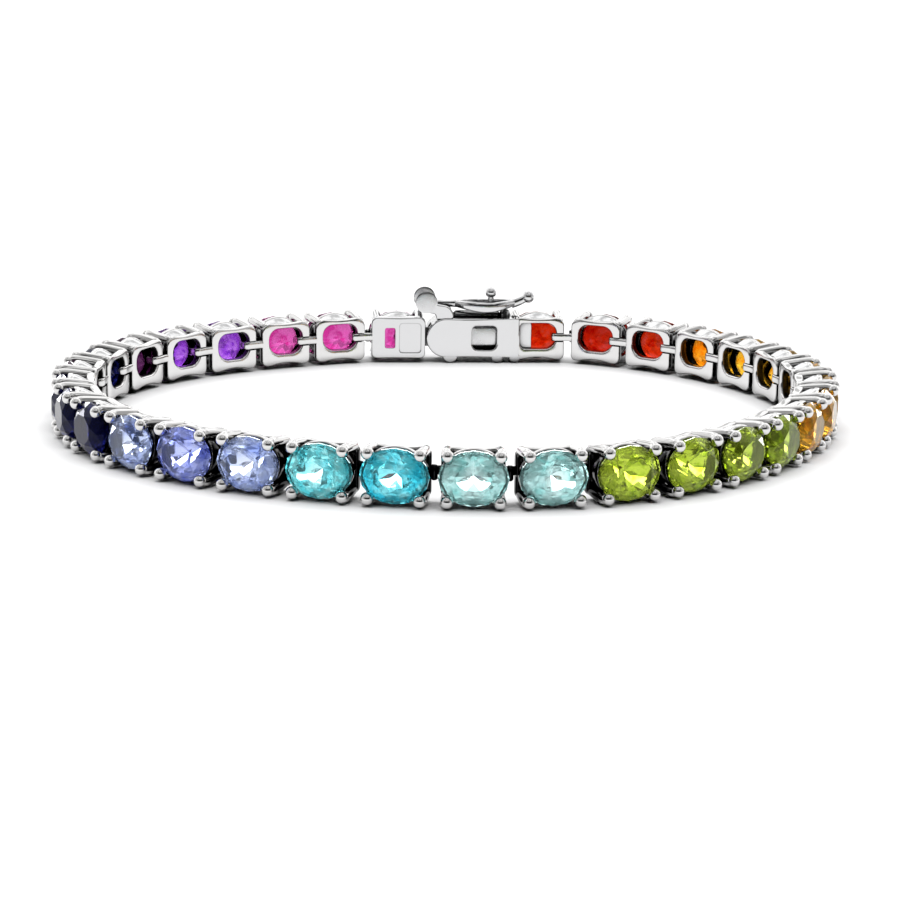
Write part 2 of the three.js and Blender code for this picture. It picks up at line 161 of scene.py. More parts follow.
def made_object(name, mesh, matrix, smooth=None):
    piece = bpy.data.objects.new(name, mesh)
    bpy.context.scene.collection.objects.link(piece)
    piece.matrix_world = matrix
    if smooth is not None:
        mesh.shade_smooth()
        mesh.set_sharp_from_angle(angle=math.radians(smooth))
        flat = piece.modifiers.new("flat_faces", "WEIGHTED_NORMAL")
        flat.weight = 100
        flat.keep_sharp = True
    return piece


class Shape:
    """Points in millimetres and faces, gathered from simple forms into one mesh."""

    def __init__(self):
        self.points = []
        self.faces = []

    def add(self, points, faces):
        start = len(self.points)
        self.points += [tuple(p) for p in points]
        self.faces += [tuple(start + i for i in face) for face in faces]

    def tube(self, rings, closed=False, capped=True):
        """Rings of equally many points, joined one to the next."""
        count = len(rings[0])
        points = [p for ring in rings for p in ring]
        faces = []
        spans = len(rings) if closed else len(rings) - 1
        for i in range(spans):
            here, there = i * count, ((i + 1) % len(rings)) * count
            for j in range(count):
                k = (j + 1) % count
                faces.append((here + j, here + k, there + k, there + j))
        if capped and not closed:
            faces.append(tuple(reversed(range(count))))
            faces.append(tuple(len(points) - count + j for j in range(count)))
        self.add(points, faces)

    def mesh(self, name):
        made = bpy.data.meshes.new(name)
        made.from_pydata([Vector(p) * MM for p in self.points], [], self.faces)
        work = bmesh.new()
        work.from_mesh(made)
        bmesh.ops.remove_doubles(work, verts=work.verts, dist=0.002 * MM)
        bmesh.ops.recalc_face_normals(work, faces=work.faces)
        work.to_mesh(made)
        work.free()
        return made


def beyond_rectangle(x, z, length, height, radius):
    """How far a point lies outside a rectangle with arc corners."""
    over_x = abs(x) - length / 2 + radius
    over_z = abs(z) - height / 2 + radius
    outside = math.hypot(max(over_x, 0.0), max(over_z, 0.0))
    return outside + min(max(over_x, over_z), 0.0) - radius


def rounded_rectangle(length, height, corners, count):
    """Points round a rectangle at even turns, with arc corners: top right, top left, low left, low right."""
    if not isinstance(corners, tuple):
        corners = (corners,) * 4
    points = []
    for i in range(count):
        angle = 2 * math.pi * (i + 0.5) / count
        radius = corners[4 * i // count]
        x, z = math.cos(angle), math.sin(angle)
        near, far = 0.0, length + height
        for _ in range(30):
            reach = (near + far) / 2
            if beyond_rectangle(x * reach, z * reach, length, height, radius) < 0:
                near = reach
            else:
                far = reach
        points.append((x * near, z * near))
    return points


def oval(along, across, count):
    angles = [2 * math.pi * i / count for i in range(count)]
    return [(along * math.cos(a), across * math.sin(a)) for a in angles]


def band(shape, outer, inner, low, high, fillet):
    """A ring between two outlines of equally many points, with rounded edges."""
    rings = []
    for (ox, oz), (ix, iz) in zip(outer, inner):
        width = math.hypot(ox - ix, oz - iz)
        edge = min(fillet / width, 0.5)
        soft = min(fillet, (high - low) / 2)
        profile = []
        for corner_share, corner_level, start in ((edge, low + soft, 2), (edge, high - soft, 1),
                                                  (1 - edge, high - soft, 0), (1 - edge, low + soft, 3)):
            for step in range(4):
                angle = math.pi / 2 * (start + (3 - step) / 3)
                profile.append((corner_share + math.cos(angle) * edge,
                                corner_level + math.sin(angle) * soft))
        rings.append([(ox + (ix - ox) * s, y, oz + (iz - oz) * s) for s, y in profile])
    shape.tube(rings, closed=True)


def straight_frames(path):
    """A side and an up vector at each point of a path, turning as little as they can."""
    tangents = []
    for i in range(len(path)):
        before, after = path[max(i - 1, 0)], path[min(i + 1, len(path) - 1)]
        tangents.append(unit(after - before))
    side = unit(tangents[0].orthogonal())
    frames = []
    for tangent in tangents:
        side = unit(side - tangent * side.dot(tangent))
        frames.append((side, tangent.cross(side)))
    return frames


def wire(shape, path, radii, sides=14):
    """A round wire along a path with a radius at each point."""
    rings = []
    for point, radius, (side, up) in zip(path, radii, straight_frames(path)):
        ring = []
        for j in range(sides):
            angle = 2 * math.pi * j / sides
            ring.append(point + side * radius * math.cos(angle) + up * radius * math.sin(angle))
        rings.append(ring)
    shape.tube(rings)


def ball(shape, centre, radius, squash=1.0, axis=OUTWARDS, sides=16, levels=10):
    """A ball, pressed flat along an axis by the given share."""
    side = unit(axis.orthogonal())
    other = axis.cross(side)
    rings = []
    for i in range(1, levels):
        polar = math.pi * i / levels
        level = centre - axis * radius * squash * math.cos(polar)
        width = radius * math.sin(polar)
        rings.append([level + side * width * math.cos(2 * math.pi * j / sides)
                      + other * width * math.sin(2 * math.pi * j / sides) for j in range(sides)])
    start = len(shape.points)
    shape.tube(rings, capped=False)
    low = centre - axis * radius * squash
    high = centre + axis * radius * squash
    fan = len(shape.points) - start
    shape.add([low, high], [])
    shape.faces += [(start + fan, start + (j + 1) % sides, start + j) for j in range(sides)]
    last = start + fan - sides
    shape.faces += [(start + fan + 1, last + j, last + (j + 1) % sides) for j in range(sides)]


def smooth_path(points, steps=6):
    """A smooth curve through points."""
    points = [Vector(p) for p in points]
    ends = [points[0] * 2 - points[1]] + points + [points[-1] * 2 - points[-2]]
    path = []
    for i in range(1, len(ends) - 2):
        a, b, c, d = ends[i - 1:i + 3]
        for k in range(steps):
            t = k / steps
            path.append(0.5 * (2 * b + (c - a) * t + (2 * a - 5 * b + 4 * c - d) * t * t
                               + (3 * b - 3 * c + d - a) * t ** 3))
    path.append(points[-1])
    return path


# The settings
FRAME_POINTS = 128
BASE_CORNERS = (0.7, 0.7, 0.42, 0.42)
WINDOW_CORNERS = (0.9, 0.9, 1.1, 1.1)
CLASP_WINDOW_CORNERS = (0.9, 0.3, 0.5, 1.1)
BASE_FILLET = 0.14
BASE_PLATE = 0.66
SCALLOP_HALF = 1.5
SCALLOP_DEPTH = 0.1
FOOT_DEPTH = 0.1
NOTCH_START = 1.2
NOTCH_DEPTH = 0.62
NOTCH_HEIGHT = 0.80
CUT_MARGIN = 0.2
RAIL_LEVEL = 1.87
RAIL_THICKNESS = 0.46
RAIL_WIDTH = 0.44
RAIL_ALONG = 2.36
RAIL_ACROSS = 2.06
RAIL_FILLET = 0.12

# A prong's middle line from foot to tip: along from PRONG_ALONG, level, and across from PRONG_ACROSS
PRONG_LINE = ((-0.04, 0.16, -0.22), (0.06, 1.4, -0.06), (0.06, 2.5, 0.04), (-0.02, 2.98, -0.10))
PRONG_RADIUS = 0.36
PRONG_FOOT_RADIUS = 0.27
PRONG_LEAN = (-0.18, 1.0, -0.16)
BEAD_SQUASH = 0.92

# The corners of the cup's wall: half length, half height and level
CUP_START = BASE_PLATE - 0.08
CUP_SECTION = ((1.84, 1.42, CUP_START), (1.98, 1.56, CUP_START), (2.30, 1.96, 1.4),
               (2.32, 2.0, 1.8), (2.16, 1.84, 1.8), (2.14, 1.80, 1.4))

# The corners of the lining's wall: growth from the window's outline, and level
LINING_START = 0.16
LINING_END = BASE_PLATE + 0.03
LINING_SECTION = ((0.02, LINING_START), (-0.015, LINING_START + 0.02), (-0.015, BASE_PLATE - 0.1),
                  (0.06, LINING_END), (0.3, LINING_END), (0.3, LINING_START + 0.06))


def add_prong(shape, x_side, z_side):
    """A prong from the base's corner to a round tip that leans over the stone."""
    line = [Vector((x_side * (PRONG_ALONG + along), level, z_side * (PRONG_ACROSS + across)))
            for along, level, across in PRONG_LINE]
    path = smooth_path(line, 5)
    radii = [PRONG_RADIUS] * len(path)
    radii[0] = PRONG_FOOT_RADIUS
    wire(shape, path, radii)
    lean = unit(Vector((PRONG_LEAN[0] * x_side, PRONG_LEAN[1], PRONG_LEAN[2] * z_side)))
    ball(shape, line[-1], PRONG_BEAD, BEAD_SQUASH, lean)


def oval_ring(shape, profile):
    """A ring whose section is a closed list of half length, half height and level."""
    rings = []
    for i in range(FRAME_POINTS):
        angle = 2 * math.pi * i / FRAME_POINTS
        rings.append([(along * math.cos(angle), level, across * math.sin(angle))
                      for along, across, level in profile])
    shape.tube(rings, closed=True)


def edge_shift(x, z):
    """How far the base's long edges curve in between the prongs' roots, with feet at the lower corners."""
    share = max(0.0, 1 - (x / SCALLOP_HALF) ** 2)
    if z > 0:
        return -SCALLOP_DEPTH * share
    return (SCALLOP_DEPTH + FOOT_DEPTH) * share - FOOT_DEPTH * min(1.0, -z / BASE_HEIGHT * 2) ** 4


def add_base(shape, corners):
    outer = rounded_rectangle(SETTING_LENGTH, BASE_HEIGHT, BASE_CORNERS, FRAME_POINTS)
    outer = [(x, z + edge_shift(x, z)) for x, z in outer]
    inner = window_outline(corners)
    band(shape, outer, inner, 0.0, BASE_PLATE, BASE_FILLET)


def setting_mesh(corners):
    """A setting, with a notch in its end bar for the next link's tab."""
    base = Shape()
    add_base(base, corners)
    notch = cuboid("notch", NOTCH_START, SETTING_LENGTH / 2 + CUT_MARGIN, -CUT_MARGIN, NOTCH_DEPTH,
                   TAB_RISE - NOTCH_HEIGHT / 2, TAB_RISE + NOTCH_HEIGHT / 2)
    cut = cut_away(base.mesh("base"), [notch])
    return merged("setting", cut, crown_mesh())


def crown_mesh():
    """The oval rail under the stone's girdle, and four prongs."""
    shape = Shape()
    outer = oval(RAIL_ALONG, RAIL_ACROSS, FRAME_POINTS)
    inner = oval(RAIL_ALONG - RAIL_WIDTH, RAIL_ACROSS - RAIL_WIDTH, FRAME_POINTS)
    band(shape, outer, inner, RAIL_LEVEL - RAIL_THICKNESS / 2, RAIL_LEVEL + RAIL_THICKNESS / 2, RAIL_FILLET)
    for x_side in (-1, 1):
        for z_side in (-1, 1):
            add_prong(shape, x_side, z_side)
    return shape.mesh("crown")


def gallery_mesh():
    """The cup behind the stone, from the base out to the rail."""
    shape = Shape()
    oval_ring(shape, CUP_SECTION)
    return shape.mesh("gallery")


def window_outline(corners):
    outline = rounded_rectangle(WINDOW_LENGTH, WINDOW_HEIGHT, corners, FRAME_POINTS)
    return [(x, z + WINDOW_RISE) for x, z in outline]


def lining_mesh(corners):
    """A near-black sheet on the wall of the window, just inside its polished rim: painted shade for the
    shadow inside the window.
    """
    outer = window_outline(corners)
    centre = (0.0, WINDOW_RISE)
    rings = [ring_at(grown(outer, centre, growth), level) for growth, level in LINING_SECTION]
    shape = Shape()
    shape.tube(rings, closed=True)
    return shape.mesh("lining")


# The cut of the stones
MAINS = 8
STAR_RADIUS = 0.80
LOWER_ROWS = ((0.80, 0.25), (0.52, 0.587), (0.22, 0.838))


def stone_mesh():
    """An oval stone: table, stars, kites and girdle facets, and a pavilion with rows of small facets."""
    half = STONE_WIDTH / 2
    stretch = STONE_LENGTH / STONE_WIDTH
    step = 2 * math.pi / MAINS
    count = 2 * MAINS
    top = GIRDLE_LEVEL + STONE_GIRDLE / 2
    bottom = GIRDLE_LEVEL - STONE_GIRDLE / 2
    star_rise = STONE_CROWN * (1 - (STAR_RADIUS * math.cos(step / 2) - STONE_TABLE) / (1 - STONE_TABLE))

    def at(radius, turn, level):
        angle = step * (turn + 0.5)
        return (radius * half * stretch * math.cos(angle), level, radius * half * math.sin(angle))

    shape = Shape()
    table = [at(STONE_TABLE, i, top + STONE_CROWN) for i in range(MAINS)]
    stars = [at(STAR_RADIUS, i + 0.5, top + star_rise) for i in range(MAINS)]
    upper = [at(1.0, i / 2, top) for i in range(count)]
    lower = [at(1.0, i / 2, bottom) for i in range(count)]
    (first_radius, first_fall), (second_radius, second_fall), (deep_radius, deep_fall) = LOWER_ROWS
    first = [at(first_radius, i / 2 + 0.25, bottom - STONE_PAVILION * first_fall) for i in range(count)]
    second = [at(second_radius, i / 2, bottom - STONE_PAVILION * second_fall) for i in range(count)]
    deep = [at(deep_radius, i + 0.5, bottom - STONE_PAVILION * deep_fall) for i in range(MAINS)]
    culet = (0.0, bottom - STONE_PAVILION, 0.0)
    shape.add(table, [tuple(range(MAINS))])
    for i in range(MAINS):
        k = (i + 1) % MAINS
        even, odd, after = 2 * i, 2 * i + 1, (2 * i + 2) % count
        shape.add([table[i], table[k], stars[i]], [(0, 1, 2)])
        shape.add([table[i], stars[i], upper[even], stars[i - 1]], [(0, 1, 2, 3)])
        shape.add([stars[i], upper[even], upper[odd]], [(0, 1, 2)])
        shape.add([stars[i], upper[odd], upper[after]], [(0, 1, 2)])
        shape.add([culet, deep[i], second[even], deep[i - 1]], [(0, 1, 2, 3)])
        shape.add([deep[i], second[even], second[odd]], [(0, 1, 2)])
        shape.add([deep[i], second[odd], second[after]], [(0, 1, 2)])
    for i in range(count):
        k = (i + 1) % count
        shape.add([upper[i], upper[k], lower[k], lower[i]], [(0, 1, 2, 3)])
        shape.add([lower[i], lower[k], first[i]], [(0, 1, 2)])
        shape.add([lower[i], first[i], second[i], first[i - 1]], [(0, 1, 2, 3)])
        shape.add([first[i], second[k], second[i]], [(0, 1, 2)])
    return shape.mesh("stone")


# The hinge tabs, with the knuckle that fills the middle of each gap
TAB_ROOT = 0.35
HOOK_START = 0.28
HOOK_LEVELS = (0.62, 0.95)
KNUCKLE_LEVEL = 1.0
KNUCKLE_HALF = 0.56
KNUCKLE_EDGE = 0.12
KNUCKLE_RADIUS = 0.26


def bar(shape, path, half_wide, half_high, roundness=0.45, sides=20):
    """A bar along a path, upright in its section, with rounded edges and halves that may change."""
    rings = []
    for i, point in enumerate(path):
        before, after = path[max(i - 1, 0)], path[min(i + 1, len(path) - 1)]
        tangent = unit(after - before)
        across = unit(tangent.cross(UPWARDS))
        up = across.cross(tangent)
        share = i / (len(path) - 1)
        wide = half_wide(share) if callable(half_wide) else half_wide
        high = half_high(share) if callable(half_high) else half_high
        ring = []
        for j in range(sides):
            angle = 2 * math.pi * j / sides
            c, s = math.cos(angle), math.sin(angle)
            ring.append(point + across * wide * math.copysign(abs(c) ** 0.7, c)
                        + up * high * math.copysign(abs(s) ** roundness, s))
        rings.append(ring)
    shape.tube(rings)


def tab_mesh(name, turn):
    """A link's tab, hooked behind the end bar of the link before, which is turned by an angle."""
    gap = (LINK_PITCH - SETTING_LENGTH) / 2
    reach = gap + END_BAR + HINGE_CLEARANCE + TAB_THICKNESS / 2
    half = TAB_THICKNESS / 2
    bend = Matrix.Rotation(turn, 3, "Z")
    at = Vector((-LINK_PITCH / 2, 0.0, TAB_RISE))

    def there(along, out):
        return at + bend @ Vector((-along, out, 0.0))

    line = [at + Vector((gap + TAB_ROOT, half, 0)), at + Vector((gap * 0.5, half, 0)), there(gap, half),
            there(reach - HOOK_START, half), there(reach - 0.05, half + 0.14),
            there(reach, HOOK_LEVELS[0]), there(reach, HOOK_LEVELS[1])]
    path = smooth_path(line)
    shape = Shape()
    bar(shape, path, half * 0.95, TAB_HEIGHT / 2)
    level = (half + 0.1, KNUCKLE_LEVEL, KNUCKLE_LEVEL + 0.1)
    bar(shape, [at + Vector((0.0, out, 0.0)) for out in level], KNUCKLE_RADIUS * 0.8, 0.3, 0.6)
    heights = (-KNUCKLE_HALF, KNUCKLE_EDGE - KNUCKLE_HALF, 0.0, KNUCKLE_HALF - KNUCKLE_EDGE, KNUCKLE_HALF)
    radii = [KNUCKLE_RADIUS * share for share in (0.6, 1.0, 1.0, 1.0, 0.6)]
    wire(shape, [at + Vector((0.0, KNUCKLE_LEVEL, z)) for z in heights], radii)
    return shape.mesh(name)


# The clasp, in a frame whose x runs along the box and is BOX_END_CENTRE at its setting's middle
CUT_POINTS = 48
BOX_START = (LINK_PITCH + SETTING_LENGTH) / 2 + CLASP_GAP
BOX_END = BOX_START + BOX_LENGTH
BOX_END_CENTRE = BOX_END + SETTING_LENGTH / 2
BOX_FILLET = 0.16
BOX_FACE = -0.015
BOX_TOP = BOX_HEIGHT / 2
BOX_WINDOW_LENGTH = 2.2
BOX_WINDOW_HEIGHT = 2.15
BOX_WINDOW_CORNERS = (0.4, 0.4, 0.6, 0.6)
BOX_WINDOW_X = BOX_END - 1.35 - BOX_WINDOW_LENGTH / 2
CAVITY_START = BOX_START + 0.9
SLOT_HALF = 1.17
SLOT_LEVELS = (0.46, 1.43)
SILL_CENTRE = BOX_END + 0.97
SILL_LENGTH = 1.5
SILL_HEIGHT = 2.9
SILL_LEVELS = (0.5, 1.15)

# The feet along the box: place from its start and radius, then level and growth of each ring of a foot
FEET = ((2.1, 0.68), (6.2, 0.52), (7.75, 0.52))
FOOT_RINGS = ((-0.005, -0.1), (0.04, -0.03), (0.12, 0.0), (1.1, 0.0), (1.2, -0.03), (1.24, -0.1))

# The catch's pivot, eye, bracket, pin and stops. An ear has rings like a foot's
PIVOT = Vector((BOX_START + 0.4, BOX_DEPTH / 2, BOX_TOP + 1.1))
EYE_RADIUS = 0.75
EYE_CLEARANCE = 0.22
EAR_THICKNESS = 0.42
EAR_FOOT = BOX_TOP - 0.12
EAR_RINGS = ((0.0, -0.14), (0.05, -0.04), (0.14, 0.0), (0.28, 0.0), (0.37, -0.04), (0.42, -0.14))
PIN_RADIUS = 0.25
PIN_HEAD_RADIUS = 0.96
PIN_HEAD_SQUASH = 0.07
PIN_HEAD_SHIFT = (-0.42, 0.3)
STUD_ALONG = 5.3
STUD_NECK = 0.85
STUD_HEAD_RISE = 1.0
STUD_HEAD_RADIUS = 0.52
POST_ALONG = 6.55
STOP_ROOT = BOX_TOP - 0.2
RIB_DROP = 0.98

# The other end's plate, its narrow window and its panel
END_PLATE_REACH = 0.16
END_WINDOW_X = -0.65
PANEL_X = 1.1

# The safety catch's middle lines from its pivot: along the box, outwards and up
SHANK_LINE = ((0.4, 0, 0), (1.0, 0, 0), (1.8, 0, 0), (2.5, 0, 0))
LOOP_LINE = ((2.3, 0.1, 0), (3.1, 0.72, -0.06), (4.0, 1.08, -0.14), (4.8, 1.15, -0.18),
             (5.6, 1.08, -0.14), (6.5, 0.72, -0.02), (7.3, 0.1, 0.08))
TAIL_LINE = ((7.1, 0, 0), (7.6, 0, 0.14), (8.1, 0, 0.36), (8.5, 0, 0.56))
TAIL_BALL = (8.6, 0, 0.62)
TAIL_BALL_RADIUS = 0.56


def ring_at(points, level):
    """An outline as a ring of points at a level away from the wrist."""
    return [Vector((x, level, z)) for x, z in points]


def grown(points, centre, growth):
    """Points moved away from a centre by a growth in millimetres."""
    moved = []
    for x, z in points:
        reach = math.hypot(x - centre[0], z - centre[1])
        share = (reach + growth) / reach
        moved.append((centre[0] + (x - centre[0]) * share, centre[1] + (z - centre[1]) * share))
    return moved


def quarter_turn():
    """The angles of a quarter turn in four steps."""
    return [math.pi / 2 * step / 4 for step in range(5)]


def lower_edge(points, centre, level, fillet):
    """The rings of a rounded edge, from a plate's face at a level up to its full outline."""
    return [ring_at(grown(points, centre, fillet * (math.sin(angle) - 1)),
                    level + fillet * (1 - math.cos(angle))) for angle in quarter_turn()]


def upper_edge(points, centre, level, fillet):
    """The rings of a rounded edge, from a plate's full outline up to its face at a level."""
    return [ring_at(grown(points, centre, fillet * (math.cos(angle) - 1)),
                    level - fillet * (1 - math.sin(angle))) for angle in quarter_turn()]


def solid_between(name, points, centre, low, high, fillet):
    """A plate with rounded edges between two levels."""
    shape = Shape()
    shape.tube(lower_edge(points, centre, low, fillet) + upper_edge(points, centre, high, fillet))
    return shape.mesh(name)


def flared_cutter(name, points, centre, depth, flare):
    """A cutter through a plate's face at level 0 that leaves a rounded rim."""
    shape = Shape()
    rings = [ring_at(grown(points, centre, flare * 1.5), -flare * 0.5)]
    for angle in quarter_turn():
        rim = grown(points, centre, flare * (1 - math.sin(angle)))
        rings.append(ring_at(rim, flare * (1 - math.cos(angle))))
    rings.append(ring_at(points, depth))
    shape.tube(rings)
    return shape.mesh(name)


def cuboid(name, x0, x1, y0, y1, z0, z1):
    """A block between two places on each axis."""
    corners = ((x0, z0), (x1, z0), (x1, z1), (x0, z1))
    shape = Shape()
    shape.tube([ring_at(corners, level) for level in (y0, y1)])
    return shape.mesh(name)


def merged(name, *meshes):
    """Several meshes as one."""
    work = bmesh.new()
    for mesh in meshes:
        work.from_mesh(mesh)
    whole = bpy.data.meshes.new(name)
    work.to_mesh(whole)
    work.free()
    return whole


def cut_away(mesh, cutters):
    """A mesh with others cut out of it."""
    scene = bpy.context.scene
    base = bpy.data.objects.new("base", mesh)
    scene.collection.objects.link(base)
    helpers = []
    for cutter in cutters:
        helper = bpy.data.objects.new("helper", cutter)
        scene.collection.objects.link(helper)
        helpers.append(helper)
        step = base.modifiers.new("step", "BOOLEAN")
        step.operation = "DIFFERENCE"
        step.solver = "EXACT"
        step.object = helper
    depsgraph = bpy.context.evaluated_depsgraph_get()
    made = bpy.data.meshes.new_from_object(base.evaluated_get(depsgraph))
    for thing in [base] + helpers:
        bpy.data.objects.remove(thing)
    return made


def box_points(end, count=40):
    """The outline of the box's long side, from a straight end at the setting to a round one at the gap."""
    radius = BOX_HEIGHT / 2
    points = [(end, -radius), (end, 0.0), (end, radius)]
    along = 8
    start = BOX_START + radius
    points += [(end + (start - end) * i / along, radius) for i in range(1, along)]
    for i in range(count + 1):
        angle = math.pi / 2 + math.pi * i / count
        points.append((start + radius * math.cos(angle), radius * math.sin(angle)))
    points += [(start + (end - start) * i / along, -radius) for i in range(1, along)]
    return points


def shifted(points, x):
    """An outline moved along the chain."""
    return [(px + x, pz) for px, pz in points]


def box_mesh():
    """A deep box on a thin plate that runs on to the window of the setting beside it."""
    centre = ((BOX_START + BOX_END) / 2, 0.0)
    plate = box_points(BOX_END + END_BAR)
    deep = box_points(BOX_END)
    rings = lower_edge(plate, centre, BOX_FACE, BOX_FILLET)
    rings += [ring_at(plate, BOX_WALL), ring_at(deep, BOX_WALL)]
    rings += upper_edge(deep, centre, BOX_DEPTH, BOX_FILLET)
    shape = Shape()
    shape.tube(rings)
    inside = BOX_TOP - BOX_WALL
    cavity = cuboid("cavity", CAVITY_START, BOX_END - BOX_WALL, BOX_WALL, BOX_DEPTH - BOX_WALL,
                    -inside, inside)
    window = rounded_rectangle(BOX_WINDOW_LENGTH, BOX_WINDOW_HEIGHT, BOX_WINDOW_CORNERS, CUT_POINTS)
    opening = flared_cutter("opening", shifted(window, BOX_WINDOW_X), (BOX_WINDOW_X, 0.0), 0.7, 0.09)
    slot = cuboid("slot", BOX_START - 0.3, BOX_START + 1.8, *SLOT_LEVELS, -SLOT_HALF, SLOT_HALF)
    return cut_away(shape.mesh("box"), [cavity, opening, slot])


def sill_mesh():
    """The box's end wall, seen through the window beside it."""
    outline = shifted(rounded_rectangle(SILL_LENGTH, SILL_HEIGHT, 0.2, CUT_POINTS), SILL_CENTRE)
    return solid_between("sill", outline, (SILL_CENTRE, 0.0), *SILL_LEVELS, 0.12)


def feet_mesh():
    """Round lobes along the box's lower edge."""
    shape = Shape()
    for along, radius in FEET:
        centre = (BOX_START + along, -HALF_HEIGHT + radius)
        outline = [(centre[0] + x, centre[1] + z) for x, z in oval(radius, radius, 32)]
        shape.tube([ring_at(grown(outline, centre, growth), level) for level, growth in FOOT_RINGS])
    return shape.mesh("feet")


def ear_points():
    """The outline of an ear: a round end at the pin and a domed back down to its foot on the box."""
    x, z = PIVOT.x, PIVOT.z
    controls = [(x + 0.5, EAR_FOOT), (x + 1.75, EAR_FOOT), (x + 1.95, EAR_FOOT + 0.5),
                (x + 1.55, z - 0.12), (x + 0.8, z + 0.1), (x - 0.1, z + 0.2), (x - 0.55, z - 0.1),
                (x - 0.45, z - 0.5), (x - 0.1, z - 0.66), (x + 0.35, z - 0.78)]
    path = smooth_path([(px, 0.0, pz) for px, pz in controls + controls[:1]], 5)
    return [(p.x, p.z) for p in path[:-1]]


def bracket_mesh():
    """The two ears that hold the catch's pin."""
    shape = Shape()
    inner = EYE_RADIUS + EYE_CLEARANCE
    points = ear_points()
    middle = (sum(p[0] for p in points) / len(points), sum(p[1] for p in points) / len(points))
    for low in (PIVOT.y - inner - EAR_THICKNESS, PIVOT.y + inner):
        shape.tube([ring_at(grown(points, middle, growth), low + level) for level, growth in EAR_RINGS])
    return shape.mesh("bracket")


def pin_mesh():
    """The catch's pin with a nearly flat head at each end."""
    shape = Shape()
    reach = EYE_RADIUS + EYE_CLEARANCE + EAR_THICKNESS
    wire(shape, [PIVOT + Vector((0, y, 0)) for y in (-reach, 0, reach)], [PIN_RADIUS] * 3, 20)
    for side in (-1, 1):
        centre = PIVOT + Vector((PIN_HEAD_SHIFT[0], side * reach, PIN_HEAD_SHIFT[1]))
        ball(shape, centre, PIN_HEAD_RADIUS, PIN_HEAD_SQUASH, OUTWARDS, 28, 12)
    return shape.mesh("pin")


def stops_mesh():
    """The stud that the catch's loop drops over, a low post, and the rib under the loop."""
    shape = Shape()
    stud = PIVOT + Vector((STUD_ALONG, 0, 0))
    heights = (STOP_ROOT, stud.z, stud.z + STUD_NECK)
    wire(shape, [Vector((stud.x, stud.y, z)) for z in heights], [0.3, 0.26, 0.26])
    ball(shape, stud + Vector((0, 0, STUD_HEAD_RISE)), STUD_HEAD_RADIUS, 0.9, UPWARDS, 20, 12)
    post = PIVOT + Vector((POST_ALONG, 0, 0))
    heights = (STOP_ROOT, BOX_TOP + 0.1, BOX_TOP + 0.4, BOX_TOP + 0.55, BOX_TOP + 0.6)
    wire(shape, [Vector((post.x, post.y, z)) for z in heights], [0.5, 0.46, 0.44, 0.36, 0.2], 20)
    rib = [PIVOT + Vector((along, 0.0, -RIB_DROP)) for along in (2.0, 2.2, 4.0, 5.9, 6.1)]
    wire(shape, rib, [0.2, 0.38, 0.42, 0.38, 0.2], 20)
    return shape.mesh("stops")


def tongue_mesh():
    """The folded spring leaf, bright through the box's window."""
    shape = Shape()
    start = (LINK_PITCH + SETTING_LENGTH) / 2 - 0.4
    tip = BOX_END - BOX_WALL - 0.5
    low = 0.95
    path = smooth_path([(start, low, 0), (start + 2.0, low, 0), (tip - 1.5, low, 0), (tip - 0.3, low, 0),
                        (tip, low + 0.3, 0), (tip - 0.3, low + 0.6, 0), (tip - 2.0, low + 0.9, 0),
                        (BOX_START + 2.2, 2.25, 0)])
    bar(shape, path, 0.15, 0.85, 0.2)
    return shape.mesh("tongue")


def end_plate_mesh():
    """The clasp's other end: a plate with a narrow window and a shallow panel."""
    outline = rounded_rectangle(SETTING_LENGTH + END_PLATE_REACH, BASE_HEIGHT, 0.42, FRAME_POINTS)
    outer = shifted(outline, END_PLATE_REACH / 2)
    block = solid_between("plate", outer, (0.0, 0.0), 0.0, BASE_THICKNESS, BASE_FILLET)
    window = shifted(rounded_rectangle(0.9, 1.75, 0.14, CUT_POINTS), END_WINDOW_X)
    opening = flared_cutter("opening", window, (END_WINDOW_X, 0.0), 1.5, 0.05)
    panel = shifted(rounded_rectangle(1.9, 2.6, 0.25, CUT_POINTS), PANEL_X)
    recess = flared_cutter("recess", panel, (PANEL_X, 0.0), 0.12, 0.05)
    return cut_away(block, [opening, recess])


def swelling(size, growth):
    """A half thickness that grows from both ends of a bar to its middle."""
    return lambda share: size + growth * math.sin(math.pi * share)


def tapering(size, loss):
    """A half thickness that falls evenly along a bar."""
    return lambda share: size - loss * share


def catch_path(line, side, steps):
    """A smooth path through a line of the catch, on one side of it."""
    return smooth_path([PIVOT + Vector((along, side * out, rise)) for along, out, rise in line], steps)


def catch_mesh():
    """The safety catch: an eye, a shank, a lens-shaped loop, and a raised tail with a ball."""
    shape = Shape()
    ball(shape, PIVOT, EYE_RADIUS, 1.0, OUTWARDS, 24, 14)
    bar(shape, catch_path(SHANK_LINE, 1, 4), swelling(0.30, -0.06), swelling(0.34, -0.06), 0.7)
    for side in (-1, 1):
        bar(shape, catch_path(LOOP_LINE, side, 6), 0.24, swelling(0.28, 0.16), 0.6)
    bar(shape, catch_path(TAIL_LINE, 1, 4), tapering(0.36, 0.08), tapering(0.40, 0.08), 0.7)
    ball(shape, PIVOT + Vector(TAIL_BALL), TAIL_BALL_RADIUS, 1.0, OUTWARDS, 20, 12)
    return shape.mesh("catch")


# Materials
def shader(material):
    material.use_nodes = True
    return material.node_tree.nodes, material.node_tree.links, material.node_tree.nodes["Principled BSDF"]


def noise(nodes, links, scale, detail, seed, coordinates="Object"):
    """Noise of a scale per metre."""
    place = nodes.new("ShaderNodeTexCoord")
    shift = nodes.new("ShaderNodeMapping")
    shift.inputs["Location"].default_value = (seed * 0.37, seed * 0.73, seed * 0.11)
    made = nodes.new("ShaderNodeTexNoise")
    made.inputs["Scale"].default_value = scale
    made.inputs["Detail"].default_value = detail
    links.new(place.outputs[coordinates], shift.inputs["Vector"])
    links.new(shift.outputs["Vector"], made.inputs["Vector"])
    return made


